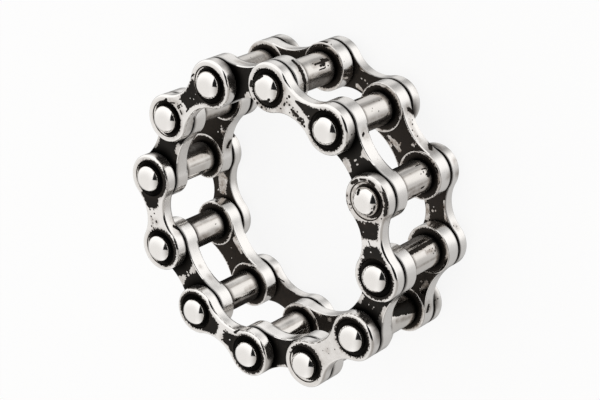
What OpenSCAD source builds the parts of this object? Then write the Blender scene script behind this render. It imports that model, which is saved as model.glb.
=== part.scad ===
// Finger ring made as a closed loop of drive chain, lying on its side.
// Outer and inner links take turns round the loop. Each pin carries a roller between the
// inner plates and ends in a domed head on each outer plate.
// Origin: the middle of the finger hole, halfway through the ring's width. +Z is the axis.
// +X runs through the middle of the first outer link.

/* [Loop] */
// Distance between neighbouring pins
pitch = 6.35; // [6.0:0.05:7.0]
// Number of pins round the ring, an even number
pin_count = 12; // [10:2:14]

/* [Plate outline] */
// Radius of a plate's round ends
eye_r = 2.09; // [1.9:0.01:2.3]
// Width of an outer plate at its waist
outer_waist_w = 2.05; // [1.6:0.05:2.6]
// Width of an inner plate at its waist
inner_waist_w = 2.65; // [1.8:0.05:3.0]

/* [Outer plates] */
// Thickness of an outer plate
outer_t = 1.15; // [0.9:0.05:1.5]
// Bevel of the edge round an outer plate's outward face
outer_bevel = 0.22; // [0.1:0.02:0.3]
// Bevel of the edge round an outer plate's inward face
outer_back_bevel = 0.08; // [0.04:0.01:0.2]
// Radius of the sunk seat round a pin head
seat_r = 1.6; // [1.45:0.01:1.7]
// Depth of the sunk seat
seat_d = 0.3; // [0.2:0.01:0.4]
// Rounding where the seat's floor turns up into its wall
seat_fillet = 0.18; // [0.08:0.01:0.2]
// Rounding of the seat's rim
seat_rim_round = 0.08; // [0.04:0.01:0.1]

/* [Inner plates] */
// Thickness of an inner plate at its waist
inner_t = 1.3; // [0.9:0.05:1.4]
// Bevel of the edge round an inner plate's outward face
inner_bevel = 0.1; // [0.05:0.01:0.2]
// Height of the round boss on the roller side of each end
boss_h = 0.12; // [0.1:0.01:0.3]
// Bevel of the boss's edge
boss_bevel = 0.06; // [0.03:0.01:0.1]

/* [Rollers and pins] */
// Radius of a roller
roller_r = 1.4; // [1.2:0.05:1.6]
// Length of a roller
roller_len = 4.4; // [3.6:0.1:5.6]
// Bevel of a roller's end edges
roller_bevel = 0.06; // [0.02:0.01:0.1]
// Radius of a pin's shank
pin_r = 0.8; // [0.6:0.05:0.95]
// Radius of a pin's head
head_r = 1.18; // [1.1:0.01:1.3]
// Height of the head's dome above the outer plate's face
dome_h = 0.87; // [0.7:0.01:1.0]

/* [Clearances] */
// Space between an outer plate and the inner plate beside it
plate_gap = 0.2; // [0.1:0.05:0.4]
// Space between a shank and each bore that it passes through
bore_gap = 0.04; // [0.02:0.01:0.08]
// Space under a pin head and at each end of a roller
face_gap = 0.03; // [0.02:0.01:0.06]

/* [Hidden] */
link_count = pin_count / 2;
step_angle = 360 / pin_count;
// Pin circle, and the distance from the axis to the middle of a link
loop_r = pitch / (2 * sin(step_angle / 2));
link_r = loop_r * cos(step_angle / 2);
bore_r = pin_r + bore_gap;
// Heights above the middle plane, from the roller out to the dome
boss_z = roller_len / 2 + face_gap;
inner_eye_t = inner_t + boss_h;
outer_z = boss_z + inner_eye_t + plate_gap;
face_z = outer_z + outer_t;
head_z = face_z - seat_d + face_gap;
dome_r = (pow(dome_h, 2) + pow(head_r, 2)) / (2 * dome_h);
// Steps in a rounded edge, and how far a cutter runs past what it cuts
round_steps = 5;
past = 0.5;
$fn = 96;

// A waist's hollow flanks are arcs that run smoothly into the round ends
function flank_r(width) =
    (pow(pitch / 2, 2) + pow(width / 2, 2) - pow(eye_r, 2)) / (2 * eye_r - width);
function flank_y(width) = width / 2 + flank_r(width);
function join_angle(width) = atan2(flank_y(width), pitch / 2);

// Points of a quarter arc or less, from one angle to another
function arc(x, y, r, from, to) = [
    for (s = [0:round_steps])
        let (a = from + (to - from) * s / round_steps)
        [x + r * cos(a), y + r * sin(a)]
];

// Half section of a round disc: its axis is the left side, its two right corners are bevelled
function disc_section(r, low, high, low_bevel, high_bevel) = [
    [0, low], [r - low_bevel, low], [r, low + low_bevel],
    [r, high - high_bevel], [r - high_bevel, high], [0, high]
];

// Half section of the tool that cuts a waist's flank, flared at both faces to bevel them
function flank_section(r, low, high, low_bevel, high_bevel) = [
    [0, low - past], [r + low_bevel, low - past], [r + low_bevel, low],
    [r, low + low_bevel], [r, high - high_bevel],
    [r + high_bevel, high], [r + high_bevel, high + past], [0, high + past]
];

// Half section of the sunk seat, with a soft foot and rim
seat_section = concat(
    [[0, -seat_d]],
    arc(seat_r - seat_fillet, seat_fillet - seat_d, seat_fillet, -90, 0),
    arc(seat_r + seat_rim_round, -seat_rim_round, seat_rim_round, 180, 90),
    [[seat_r + seat_rim_round, past], [0, past]]
);

module at_both_eyes() {
    for (side = [0, 180])
        rotate([0, 0, side])
            translate([pitch / 2, 0, 0])
                children();
}

// The middle of a plate: a block from eye to eye with both flanks cut hollow
module waist(width, low, high, low_bevel, high_bevel) {
    // The block's sides run past the points where the flanks join the eyes
    angle = join_angle(width);
    reach = (eye_r + flank_r(width) / 2) * [cos(angle), sin(angle)];
    side_x = pitch / 2 - reach.x;
    difference() {
        translate([0, 0, low])
            linear_extrude(high - low)
                polygon([
                    [pitch / 2, 0], [side_x, reach.y], [-side_x, reach.y],
                    [-pitch / 2, 0], [-side_x, -reach.y], [side_x, -reach.y]
                ]);
        for (side = [-1, 1])
            translate([0, side * flank_y(width), 0])
                rotate_extrude()
                    polygon(flank_section(flank_r(width), low, high, low_bevel, high_bevel));
    }
}

module bores(low, high) {
    at_both_eyes()
        translate([0, 0, low - past])
            cylinder(r = bore_r, h = high - low + 2 * past);
}

// An outer plate above the middle plane, lying along X and centred on the axis
module outer_plate() {
    difference() {
        union() {
            at_both_eyes()
                rotate_extrude()
                    polygon(disc_section(eye_r, outer_z, face_z, outer_back_bevel, outer_bevel));
            waist(outer_waist_w, outer_z, face_z, outer_back_bevel, outer_bevel);
        }
        bores(outer_z, face_z);
        at_both_eyes()
            translate([0, 0, face_z])
                rotate_extrude()
                    polygon(seat_section);
    }
}

// An inner plate above the middle plane, its bosses towards the roller
module inner_plate() {
    top_z = boss_z + inner_eye_t;
    difference() {
        union() {
            at_both_eyes()
                rotate_extrude()
                    polygon(disc_section(eye_r, boss_z, top_z, boss_bevel, inner_bevel));
            waist(inner_waist_w, boss_z + boss_h, top_z, 0, inner_bevel);
        }
        bores(boss_z, top_z);
    }
}

module roller() {
    rotate_extrude()
        difference() {
            polygon(disc_section(roller_r, -roller_len / 2, roller_len / 2, roller_bevel, roller_bevel));
            translate([0, -roller_len])
                square([bore_r, 2 * roller_len]);
        }
}

module pin() {
    cylinder(r = pin_r, h = 2 * face_z, center = true);
    for (side = [0, 1])
        mirror([0, 0, side])
            intersection() {
                translate([0, 0, head_z])
                    cylinder(r = head_r, h = seat_d + dome_h);
                translate([0, 0, face_z + dome_h - dome_r])
                    sphere(r = dome_r);
            }
}

module on_link(number, is_outer) {
    rotate([0, 0, (2 * (number - 1) + (is_outer ? 0 : 1)) * step_angle])
        translate([link_r, 0, 0])
            rotate([0, 0, 90])
                children();
}

module on_pin(number) {
    rotate([0, 0, (number - 1.5) * step_angle])
        translate([loop_r, 0, 0])
            children();
}

module outer_plate_upper(number) {
    color("gainsboro") on_link(number, true) outer_plate();
}

module outer_plate_lower(number) {
    color("gainsboro") on_link(number, true) mirror([0, 0, 1]) outer_plate();
}

module inner_plate_upper(number) {
    color("gray") on_link(number, false) inner_plate();
}

module inner_plate_lower(number) {
    color("gray") on_link(number, false) mirror([0, 0, 1]) inner_plate();
}

module roller_on_pin(number) {
    color("silver") on_pin(number) roller();
}

module pin_in_place(number) {
    color("whitesmoke") on_pin(number) pin();
}

for (k = [1:link_count]) {
    outer_plate_upper(k);
    outer_plate_lower(k);
    inner_plate_upper(k);
    inner_plate_lower(k);
}
for (i = [1:pin_count]) {
    roller_on_pin(i);
    pin_in_place(i);
}
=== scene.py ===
# %% [markdown]
# # A finger ring made of chain
#
# This ring is a closed loop of drive chain in polished steel. Outer and inner plates take turns
# round the loop, a roller sits on each pin, and each pin ends in a domed head on both faces.
# Black oxide was left in the hollows and polished off the high spots. Nearly all that the eye
# reads as steel is reflection, so this lesson spends its effort on three things: edges with
# true roundings, a studio that is worth reflecting, and oxide that stops where a polishing
# wheel would have reached.
#
# The construction was made elsewhere and comes in as a fixed frame. We load it first and keep
# its box, because nothing that we add may stand outside it.

import math
from typing import NamedTuple

import bmesh
import bpy
import numpy as np
from mathutils import Matrix, Vector


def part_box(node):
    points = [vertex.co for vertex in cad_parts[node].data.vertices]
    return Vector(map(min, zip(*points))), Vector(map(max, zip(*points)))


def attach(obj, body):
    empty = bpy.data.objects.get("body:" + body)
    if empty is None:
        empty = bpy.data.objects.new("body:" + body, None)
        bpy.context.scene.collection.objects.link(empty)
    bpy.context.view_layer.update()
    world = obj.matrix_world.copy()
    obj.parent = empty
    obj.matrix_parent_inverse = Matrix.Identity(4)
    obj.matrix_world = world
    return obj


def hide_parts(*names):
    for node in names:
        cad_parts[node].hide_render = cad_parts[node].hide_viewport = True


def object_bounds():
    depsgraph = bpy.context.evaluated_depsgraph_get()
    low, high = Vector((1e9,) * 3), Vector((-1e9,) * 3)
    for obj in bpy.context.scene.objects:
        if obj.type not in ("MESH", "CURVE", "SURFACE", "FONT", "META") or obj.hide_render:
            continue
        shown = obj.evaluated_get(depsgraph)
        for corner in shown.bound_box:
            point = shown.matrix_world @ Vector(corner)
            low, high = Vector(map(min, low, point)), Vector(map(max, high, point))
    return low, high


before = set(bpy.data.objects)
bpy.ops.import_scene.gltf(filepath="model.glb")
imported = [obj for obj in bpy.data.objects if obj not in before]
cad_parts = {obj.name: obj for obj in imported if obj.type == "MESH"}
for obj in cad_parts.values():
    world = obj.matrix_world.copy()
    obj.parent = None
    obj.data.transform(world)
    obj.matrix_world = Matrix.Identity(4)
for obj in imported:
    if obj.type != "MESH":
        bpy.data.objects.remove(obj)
cad_low, cad_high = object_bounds()
MM = 0.001
print("CAD nodes:", len(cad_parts))
print("CAD box, mm:", [round(size / MM, 2) for size in cad_high - cad_low])

# %% [markdown]
# ## Reading the chain's sizes
#
# The sizes that a box can tell are read from the frame, so the looks follow the construction
# when it changes. Outer link 1 lies along Y, so its plate's box is two eye radii wide, and a
# pitch and two eye radii long. Lengths here are millimetres, and every mesh is scaled to
# metres once, when it is made. What no box tells, such as the waist's width and the seat
# round a pin head, is a named value.

# %% Sizes from the frame
def box_mm(node):
    """The low and high corners of a node's box, in millimetres."""
    low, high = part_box(node)
    return np.array(low) / MM, np.array(high) / MM


outer_low, outer_high = box_mm("outer_plate_upper_1")
inner_low, inner_high = box_mm("inner_plate_upper_1")
roller_low, roller_high = box_mm("roller_1")
pin_low, pin_high = box_mm("pin_1")

EYE_R = (outer_high[0] - outer_low[0]) / 2
PITCH = outer_high[1] - outer_low[1] - 2 * EYE_R
LINK_R = (outer_high[0] + outer_low[0]) / 2
LOOP_R = math.hypot(LINK_R, PITCH / 2)
OUTER_BACK, OUTER_FACE = outer_low[2], outer_high[2]
BOSS_FACE, INNER_FACE = inner_low[2], inner_high[2]
ROLLER_R = (roller_high[0] - roller_low[0]) / 2
ROLLER_END = roller_high[2]
HEAD_R = (pin_high[0] - pin_low[0]) / 2
DOME_TOP = pin_high[2]
PINS = 12
STEP = 2 * math.pi / PINS
print(f"pitch {PITCH:.3f}, eye radius {EYE_R:.3f}, loop radius {LOOP_R:.3f}")
print(f"outer plate from {OUTER_BACK:.2f} to {OUTER_FACE:.2f} above the middle")
print(f"inner plate from {BOSS_FACE:.2f} to {INNER_FACE:.2f} above the middle")

# %% Sizes that no box tells
OUTER_WAIST = 2.05
INNER_WAIST = 2.65
BORE_R = 0.84
SEAT_R = 1.6
SEAT_DEPTH = 0.3
BOSS_H = 0.12
PIN_R = 0.8
FACE_GAP = 0.03
HEAD_FOOT = OUTER_FACE - SEAT_DEPTH + FACE_GAP
INNER_WAIST_BACK = BOSS_FACE + BOSS_H
print(f"pin heads start at {HEAD_FOOT:.2f}, inner waists at {INNER_WAIST_BACK:.2f}")

# %% [markdown]
# ## The camera
#
# The photograph shows the ring's front face three quarters on, from a long lens. The ring lies
# on its side here, so the same view comes from above the floor, with the camera turned about
# its own axis until the loop stands upright in the frame. A Track To constraint would aim the
# camera too, but it has no such turn. Writing the three axes out gives it, and the studio is
# laid out by the same axes further on.

# %% Camera
CAMERA_AZIMUTH = math.radians(-6.7)
CAMERA_HEIGHT = math.radians(46.1)
CAMERA_ROLL = math.radians(114.7)
CAMERA_DISTANCE = 143.6
CAMERA_AIM = Vector((0.35, -1.02, 0.0))
CAMERA_LENS = 102.2
CAMERA_SENSOR = 36
CAMERA_RANGE = (0.01, 10)

TO_CAMERA = Vector((
    math.sin(CAMERA_AZIMUTH) * math.cos(CAMERA_HEIGHT),
    -math.cos(CAMERA_AZIMUTH) * math.cos(CAMERA_HEIGHT),
    math.sin(CAMERA_HEIGHT),
))
level_right = Vector((0, 0, 1)).cross(TO_CAMERA).normalized()
level_up = TO_CAMERA.cross(level_right)
VIEW_UP = math.cos(CAMERA_ROLL) * level_up + math.sin(CAMERA_ROLL) * level_right
VIEW_RIGHT = VIEW_UP.cross(TO_CAMERA)

camera_data = bpy.data.cameras.new("camera")
camera_data.lens = CAMERA_LENS
camera_data.sensor_width = CAMERA_SENSOR
camera_data.clip_start, camera_data.clip_end = CAMERA_RANGE
camera = bpy.data.objects.new("camera", camera_data)
bpy.context.scene.collection.objects.link(camera)
axes = Matrix((VIEW_RIGHT, VIEW_UP, TO_CAMERA)).transposed().to_4x4()
camera.matrix_world = Matrix.Translation((CAMERA_AIM + CAMERA_DISTANCE * TO_CAMERA) * MM) @ axes
bpy.context.scene.camera = camera
print("camera at, mm:", [round(place / MM, 1) for place in camera.location])

# %% [markdown]
# ## A short way to lay nodes
#
# Materials and the studio are built from shader nodes. A node takes four lines by hand, so a
# small class does it in one: each input is a number, a vector or another node's output, and
# the call returns the output that the next step needs.

# %% Laying nodes
class Wiring:
    """Lays nodes into a tree and joins them."""

    def __init__(self, tree):
        self.tree = tree
        tree.nodes.clear()

    def node(self, kind, **settings):
        """A new node of that kind."""
        made = self.tree.nodes.new("ShaderNode" + kind)
        for name, value in settings.items():
            setattr(made, name, value)
        return made

    def feed(self, socket, value):
        """Join another node's output to the socket, or set the socket's own value."""
        if isinstance(value, bpy.types.NodeSocket):
            self.tree.links.new(value, socket)
        else:
            socket.default_value = value

    def maths(self, operation, *values, clamp=False):
        """One sum with numbers."""
        made = self.node("Math", operation=operation, use_clamp=clamp)
        for socket, value in zip(made.inputs, values):
            self.feed(socket, value)
        return made.outputs[0]

    def vector(self, operation, *values):
        """One sum with vectors."""
        made = self.node("VectorMath", operation=operation)
        for socket, value in zip(made.inputs, values):
            self.feed(socket, value)
        return made.outputs["Value" if operation == "DOT_PRODUCT" else "Vector"]

    def ease(self, value, start, end):
        """0 at start and 1 at end, with a soft way between them."""
        made = self.node("MapRange", interpolation_type="SMOOTHSTEP")
        for name, given in (("Value", value), ("From Min", start), ("From Max", end)):
            self.feed(made.inputs[name], given)
        return made.outputs[0]

    def blend(self, share, colour_a, colour_b):
        """Colour a where the share is 0 and colour b where it is 1."""
        # A Mix node's colour sockets come after those for numbers and vectors
        made = self.node("Mix", data_type="RGBA")
        self.feed(made.inputs[0], share)
        self.feed(made.inputs[6], colour_a)
        self.feed(made.inputs[7], colour_b)
        return made.outputs[2]


def grey(level, warmth=0.0):
    """A grey of that brightness, with a little more red and less blue for warmth."""
    return (level * (1 + warmth), level, level * (1 - warmth), 1.0)


# %% [markdown]
# ## The studio
#
# A polished dome is a chrome ball: it shows the whole studio at once, and each photograph of
# one is a map of the lamps round it. Lamps and cards could be set up as in a real studio, but
# each would have to be moved by trial until its reflection sits right. A painted world is
# quicker. A spot on a mirror shows what lies along the camera's ray once it has bounced. That
# spot faces the direction half way between the ray and the camera, so a studio painted by
# half-way direction can be laid out as the ball shows it: `across` and `upward` are a place on
# the ball as the camera sees it, from -1 to 1.
#
# The domes show a white tent above, the softer grey of its near wall, a warm floor to the
# lower right and one dark card to the right, a wedge with a level foot. The same card draws
# the thin black line down the rim of each plate.

# %% Studio: a place on the chrome ball
world = bpy.data.worlds.new("studio")
bpy.context.scene.world = world
world.use_nodes = True
studio = Wiring(world.node_tree)
RING_AXIS = Vector((0, 0, 1))

ray = studio.node("TexCoord").outputs["Generated"]
halfway = studio.vector("NORMALIZE", studio.vector("ADD", ray, TO_CAMERA))
across = studio.vector("DOT_PRODUCT", halfway, VIEW_RIGHT)
upward = studio.vector("DOT_PRODUCT", halfway, VIEW_UP)
facing = studio.vector("DOT_PRODUCT", halfway, RING_AXIS)
print("to the camera:", [round(part, 3) for part in TO_CAMERA])

# %% Studio: tent, near wall and floor
TENT = grey(1.12, 0.01)
NEAR_WALL = grey(0.84, 0.02)
WARM_FLOOR = grey(0.40, 0.05)
BALL_RIM = grey(0.42, 0.02)
WALL_MIDDLE = (-0.55, -0.35)
WALL_REACH = (0.56, 0.64)
WALL_FADE = (2.1, 0.25)
FLOOR_ACROSS = (-0.16, 0.42)
FLOOR_DOWN = (0.02, -0.28)
RIM_FADE = (0.80, 1.0)


def squared_reach(lay, pairs):
    """The sum of squares of (value, middle, reach): 1 on the ellipse that they describe."""
    total = None
    for value, middle, reach in pairs:
        part = lay.maths("MULTIPLY", lay.maths("SUBTRACT", value, middle), 1 / reach)
        part = lay.maths("MULTIPLY", part, part)
        total = part if total is None else lay.maths("ADD", total, part)
    return total


wall_reach = squared_reach(studio, (
    (across, WALL_MIDDLE[0], WALL_REACH[0]), (upward, WALL_MIDDLE[1], WALL_REACH[1]),
))
from_middle = squared_reach(studio, ((across, 0, 1), (upward, 0, 1)))
floor_share = studio.maths(
    "MULTIPLY", studio.ease(across, *FLOOR_ACROSS), studio.ease(upward, *FLOOR_DOWN)
)
tent = studio.blend(studio.ease(wall_reach, *WALL_FADE), TENT, NEAR_WALL)
tent = studio.blend(floor_share, tent, WARM_FLOOR)
tent = studio.blend(studio.ease(from_middle, *RIM_FADE), tent, BALL_RIM)
print("nodes for the tent:", len(world.node_tree.nodes))

# %% [markdown]
# The card's left and right edges curve, so each is a parabola in the height above the foot. The
# foot itself drops a little to the right. All three are cut with a narrow soft edge.

# %% Studio: the dark card
CARD = grey(0.012)
CARD_FOOT = -0.20
CARD_FOOT_DROP = 0.10
CARD_LEFT = (0.06, 0.03, 0.40)
CARD_RIGHT = (0.50, -0.045, -0.54)
SOFT_EDGE = 0.02


def parabola(lay, value, terms):
    """The curve terms[0] + terms[1] * value + terms[2] * value squared."""
    steep = lay.maths("MULTIPLY_ADD", value, terms[2], terms[1])
    return lay.maths("MULTIPLY_ADD", value, steep, terms[0])


above_foot = studio.maths("SUBTRACT", upward, CARD_FOOT)
drop = studio.maths("MULTIPLY", studio.maths("SUBTRACT", across, CARD_LEFT[0]), CARD_FOOT_DROP)
past_left = studio.maths("SUBTRACT", across, parabola(studio, above_foot, CARD_LEFT))
past_right = studio.maths("SUBTRACT", parabola(studio, above_foot, CARD_RIGHT), across)
card = studio.ease(studio.maths("ADD", above_foot, drop), -SOFT_EDGE, SOFT_EDGE)
card = studio.maths("MULTIPLY", card, studio.ease(past_left, -SOFT_EDGE, SOFT_EDGE))
card = studio.maths("MULTIPLY", card, studio.ease(past_right, -SOFT_EDGE, SOFT_EDGE))
tent = studio.blend(card, tent, CARD)
print("nodes with the card:", len(world.node_tree.nodes))

# %% [markdown]
# The sides of the plates and the rollers stand square to the ring's axis, so on the ball they
# only ever reach one curve, a quarter turn from that axis. Along it the photograph has bands: a
# white lamp in the middle, a grey seam above it and a dull wall below. They are a ramp of greys
# by the angle round the ring's axis.

# %% Studio: bands that the sides and rollers show
SIDE_BANDS = (
    (-90, 0.40), (-60, 0.52), (-28, 0.56), (-16, 0.66), (-7, 1.02), (3, 1.10), (13, 1.06),
    (20, 0.70), (28, 0.42), (33, 0.40), (41, 0.74), (56, 0.76), (68, 0.50), (80, 0.28), (90, 0.20),
)
BAND_WARMTH = 0.015
BAND_FADE = (0.09, 0.01)
side_front = Vector((TO_CAMERA.x, TO_CAMERA.y, 0)).normalized()
side_up = side_front.cross(RING_AXIS)
if side_up.dot(VIEW_UP) < 0:
    side_up = -side_up
turn = studio.maths(
    "ARCTAN2",
    studio.vector("DOT_PRODUCT", halfway, side_up),
    studio.vector("DOT_PRODUCT", halfway, side_front),
)
bands = studio.node("ValToRGB")
studio.feed(bands.inputs[0], studio.maths("MULTIPLY_ADD", turn, 1 / math.pi, 0.5))
while len(bands.color_ramp.elements) < len(SIDE_BANDS):
    bands.color_ramp.elements.new(0.5)
# A stop that moves past another changes their order, so the colours come after all the places
for stop, (angle, _) in zip(bands.color_ramp.elements, SIDE_BANDS):
    stop.position = (angle + 90) / 180
for stop, (_, level) in zip(bands.color_ramp.elements, SIDE_BANDS):
    stop.color = grey(level, BAND_WARMTH)
tent = studio.blend(studio.ease(facing, *BAND_FADE), tent, bands.outputs[0])
print("bands on the sides:", len(bands.color_ramp.elements))

# %% [markdown]
# The half-way direction means little for rays that leave the camera almost straight, where it
# swings round within a few degrees. Seen from the photograph's side only grazing spots send
# such rays, so they all get one grey.

# %% Studio: what lies behind the ring
BEHIND = grey(0.36, 0.015)
BEHIND_FADE = (-0.78, -0.95)
to_camera_share = studio.vector("DOT_PRODUCT", ray, TO_CAMERA)
tent = studio.blend(studio.ease(to_camera_share, *BEHIND_FADE), tent, BEHIND)

# %% Studio: join it to the world
BACKDROP = grey(0.975)
light_path = studio.node("LightPath")
shown = studio.blend(light_path.outputs["Is Camera Ray"], tent, BACKDROP)
background = studio.node("Background")
studio.feed(background.inputs["Color"], shown)
studio.feed(background.inputs["Strength"], 1.0)
world_output = studio.node("OutputWorld")
studio.feed(world_output.inputs["Surface"], background.outputs[0])
bpy.context.scene.view_settings.view_transform = "Standard"
print("studio nodes:", len(world.node_tree.nodes))

# %% [markdown]
# ## The floor
#
# The photograph is cut out on white and keeps a faint shadow at the contact. A shadow catcher
# would keep the shadow alone, but then the picture needs a backdrop from elsewhere. The floor
# here is a pale disc that glows a little by itself, so that the shade between the links stays
# light, and it hides from reflections, because the ball's map above already holds a floor.

# %% Floor
FLOOR_R = 600 * MM
FLOOR_CORNERS = 96
FLOOR_GLOW = 0.872
FLOOR_COLOUR = grey(0.13)

bpy.ops.mesh.primitive_circle_add(vertices=FLOOR_CORNERS, radius=FLOOR_R, fill_type="NGON")
floor = bpy.context.object
floor.name = "floor"
floor.location.z = cad_low.z
floor.visible_glossy = False
paper = bpy.data.materials.new("pale_paper")
paper.use_nodes = True
sheet = Wiring(paper.node_tree)
paper_diffuse = sheet.node("BsdfDiffuse")
paper_glow = sheet.node("Emission")
sheet.feed(paper_diffuse.inputs["Color"], FLOOR_COLOUR)
sheet.feed(paper_glow.inputs["Color"], grey(1.0))
sheet.feed(paper_glow.inputs["Strength"], FLOOR_GLOW)
both = sheet.node("AddShader")
sheet.feed(both.inputs[0], paper_diffuse.outputs[0])
sheet.feed(both.inputs[1], paper_glow.outputs[0])
sheet.feed(sheet.node("OutputMaterial").inputs["Surface"], both.outputs[0])
floor.data.materials.append(paper)
print("floor at, mm:", round(cad_low.z / MM, 2))

# %% [markdown]
# ## Steel with oxide in its hollows
#
# The finish is one recipe with two levels. Polished steel is a bright metal with a low
# roughness. Oxide is nearly black and dull. Which one shows is decided by a number that each
# mesh point carries, `oxide`: above 0 the oxide stays, below 0 it is polished off. Noise is
# added to it before the cut, so an edge wanders where the number changes slowly and is crisp
# where it changes fast. A painted image could do the same, but it blurs when the camera comes
# close, and numbers on the points need no unwrapping.
#
# Two more numbers go with it. `stain` is a thin brown film, broken up by the mottle, and the
# third is painted shade: a soft dark in corners, in the gaps between plates, next to the pin
# heads and at the roller ends, with a little grime in it. The plates' sides were cut and only
# brushed, so they are a little rougher than the faces. The shader knows them by their direction:
# a side's normal lies square to the ring's axis.

# %% Steel: its colours
POLISHED = (0.925, 0.910, 0.890, 1.0)
DRAWN = (0.80, 0.775, 0.745, 1.0)
OXIDE_BLACK = (0.032, 0.030, 0.028, 1.0)
OXIDE_BROWN = (0.052, 0.044, 0.038, 1.0)
STAIN_BROWN = (0.27, 0.225, 0.19, 1.0)
# The near black of painted shade, with a little grime in it
SHADE_AND_GRIME_BLACK = (0.008, 0.0075, 0.007, 1.0)
DULL_EDGE = grey(0.04)
print("polished steel is", round(POLISHED[1] / OXIDE_BLACK[1]), "times as bright as its oxide")


# %% Steel: noise in millimetres
def noise(lay, place, size, detail, roughness=0.6):
    """Noise from 0 to 1 with features of about that size, in millimetres."""
    made = lay.node("TexNoise", noise_dimensions="3D")
    lay.feed(made.inputs["Vector"], place)
    lay.feed(made.inputs["Scale"], 1 / (size * MM))
    lay.feed(made.inputs["Detail"], detail)
    lay.feed(made.inputs["Roughness"], roughness)
    return made.outputs["Fac"]


# %% [markdown]
# The colour is laid in layers: a brown edge and a film on bare steel, the oxide over them, and
# last the painted shade of corners, gaps and seats, which has a little grime in it. The noise is
# added to the oxide's number first, and two soft cuts through the sum draw the borders: black
# above 0, and brown just outside it.

# %% Steel: layers of tarnish
# oxide, brown stain, and painted shade with a little grime
FINISH_NUMBERS = ("oxide", "stain", "shade_and_grime")
RAGGED_SIZE = 0.16
RAGGED_REACH = 1.1
BLACK_CUT = (-0.02, 0.06)
BROWN_CUT = (-0.36, 0.02)
BROWN_SHARE = 0.50
FILM_CONTRAST = (1.8, -0.4)
RUSTY_MOTTLE = (0.52, 0.75)


def tarnish(lay, place, mottle, bare_colour):
    """The colour of a spot, the share of black oxide on it, and how dull it is."""
    oxide, stain, shade_and_grime = (
        lay.node("Attribute", attribute_name=label).outputs["Fac"] for label in FINISH_NUMBERS
    )
    ragged = noise(lay, place, RAGGED_SIZE, detail=4.0)
    wander = lay.maths("MULTIPLY_ADD", ragged, 2 * RAGGED_REACH, -RAGGED_REACH)
    depth = lay.maths("ADD", oxide, wander)
    black = lay.ease(depth, *BLACK_CUT)
    brown_edge = lay.maths("MULTIPLY", lay.ease(depth, *BROWN_CUT), BROWN_SHARE)
    film = lay.maths("MULTIPLY_ADD", mottle, *FILM_CONTRAST)
    stained = lay.maths("MULTIPLY", stain, film, clamp=True)

    bare = lay.blend(lay.maths("MAXIMUM", brown_edge, stained), bare_colour, STAIN_BROWN)
    rusty = lay.maths("MAXIMUM", stained, lay.ease(mottle, *RUSTY_MOTTLE))
    tint = lay.blend(black, bare, lay.blend(rusty, OXIDE_BLACK, OXIDE_BROWN))
    # Painted shade, with a little grime, darkens the colour last
    tint = lay.blend(shade_and_grime, tint, SHADE_AND_GRIME_BLACK)
    return tint, black, lay.maths("MAXIMUM", black, shade_and_grime)


# %% [markdown]
# No polished face is a perfect plane, and a mirror shows it. A low, wide swell bends the
# reflections a little, as a hand-held wheel does, and without it the ring looks computed. The
# bump's distance is one millimetre, so the heights below are millimetres.

# %% Steel: roughness and relief
HAZY_MOTTLE = (0.40, 0.70)
HAZE_ROUGHNESS = 0.06
DULL_ROUGHNESS = 0.42
SIDE_NORMAL = (0.5, 0.1)
SWELL_SIZE = 2.6
SWELL_LIFT = 0.10
MOTTLE_LIFT = 0.004
OXIDE_PIT = 0.01


def wear(lay, normal, mottle, dull, polish, side_brush):
    """Roughness: the polish, and more in hazy spots, on brushed sides and where it is dull."""
    along_axis = lay.vector("DOT_PRODUCT", normal, RING_AXIS)
    side = lay.ease(lay.maths("ABSOLUTE", along_axis), *SIDE_NORMAL)
    worn = lay.maths("MULTIPLY_ADD", lay.ease(mottle, *HAZY_MOTTLE), HAZE_ROUGHNESS, polish)
    worn = lay.maths("MULTIPLY_ADD", side, side_brush, worn)
    return lay.maths("MULTIPLY_ADD", dull, DULL_ROUGHNESS, worn)


def relief(lay, place, mottle, black):
    """A bump from the swell, the mottle and the oxide's shallow pit."""
    swell = noise(lay, place, SWELL_SIZE, detail=1.0)
    lift = lay.maths("MULTIPLY_ADD", swell, SWELL_LIFT, lay.maths("MULTIPLY", black, -OXIDE_PIT))
    lift = lay.maths("MULTIPLY_ADD", mottle, MOTTLE_LIFT, lift)
    bump = lay.node("Bump")
    lay.feed(bump.inputs["Strength"], 1.0)
    lay.feed(bump.inputs["Distance"], MM)
    lay.feed(bump.inputs["Height"], lift)
    return bump.outputs[0]


# %% Steel: the four materials
MOTTLE_SIZE = 0.55
SIDE_BRUSH = 0.09


def steel(name, polish=0.09, bare_colour=POLISHED, side_brush=0.0):
    """Polished steel with black oxide where the piece's own numbers leave it."""
    material = bpy.data.materials.new(name)
    material.use_nodes = True
    lay = Wiring(material.node_tree)
    surface = lay.node("TexCoord")
    place, normal = surface.outputs["Object"], surface.outputs["Normal"]
    mottle = noise(lay, place, MOTTLE_SIZE, detail=5.0, roughness=0.7)
    tint, black, dull = tarnish(lay, place, mottle, bare_colour)

    metal = lay.node("BsdfPrincipled")
    lay.feed(metal.inputs["Base Color"], tint)
    lay.feed(metal.inputs["Metallic"], 1.0)
    lay.feed(metal.inputs["Roughness"], wear(lay, normal, mottle, dull, polish, side_brush))
    # Seen at a low angle bare steel turns white, and oxide may not
    lay.feed(metal.inputs["Specular Tint"], lay.blend(dull, grey(1.0), DULL_EDGE))
    lay.feed(metal.inputs["Normal"], relief(lay, place, mottle, black))
    lay.feed(lay.node("OutputMaterial").inputs["Surface"], metal.outputs[0])
    print(name, "has", len(material.node_tree.nodes), "nodes")
    return material


PLATE_STEEL = steel("outer_plate_steel", side_brush=SIDE_BRUSH)
INNER_STEEL = steel("inner_plate_steel", side_brush=SIDE_BRUSH)
ROLLER_STEEL = steel("roller_steel", polish=0.12, bare_colour=DRAWN)
PIN_STEEL = steel("pin_head_steel", polish=0.07)

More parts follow.
